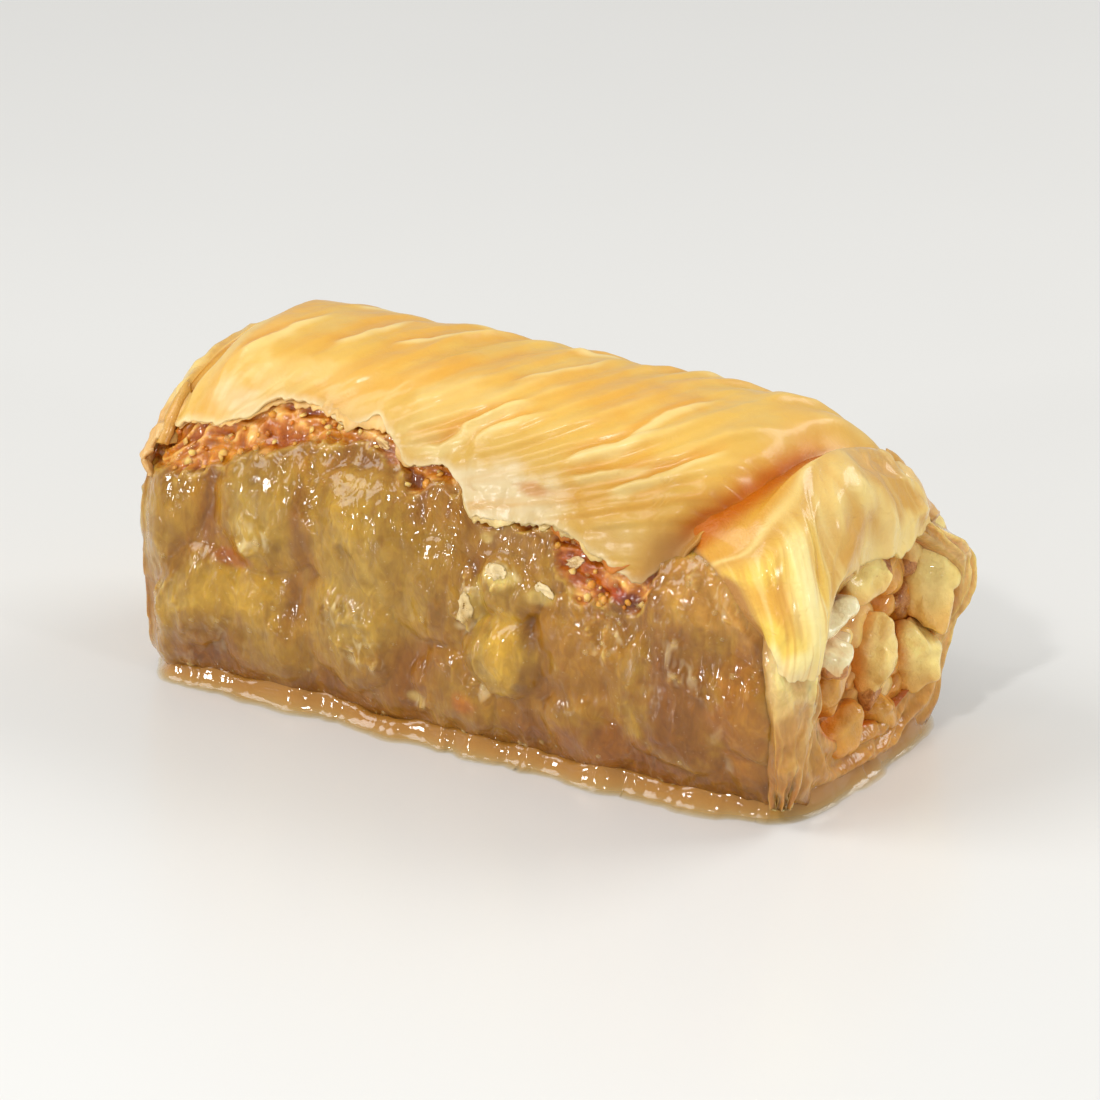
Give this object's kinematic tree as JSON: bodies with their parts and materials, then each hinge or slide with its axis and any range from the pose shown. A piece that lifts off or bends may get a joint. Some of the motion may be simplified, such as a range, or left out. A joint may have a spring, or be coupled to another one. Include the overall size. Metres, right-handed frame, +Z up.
{
  "type": "baklava piece",
  "caption": "Cut piece of rolled walnut baklava with a crisp golden cap over syrup-soaked pastry, walnuts showing at both cut ends.",
  "frame": {"origin": "middle of the flat underside of the piece, on the surface it lies on", "axes": "+X along the roll towards the cut end with the curled corner, +Y across it away from the long side with the deeply torn cap, +Z up"},
  "size_m": [0.0692, 0.0306, 0.0325],
  "materials": {
    "phyllo": "syrup-soaked baked pastry, translucent and glossy below, crisp golden satin above",
    "walnut": "chopped walnut, cream flesh with brown skin, moist satin"
  },
  "bodies": {
    "root": {"phyllo_roll": "phyllo", "walnut_filling": "walnut"}
  },
  "joints": []
}
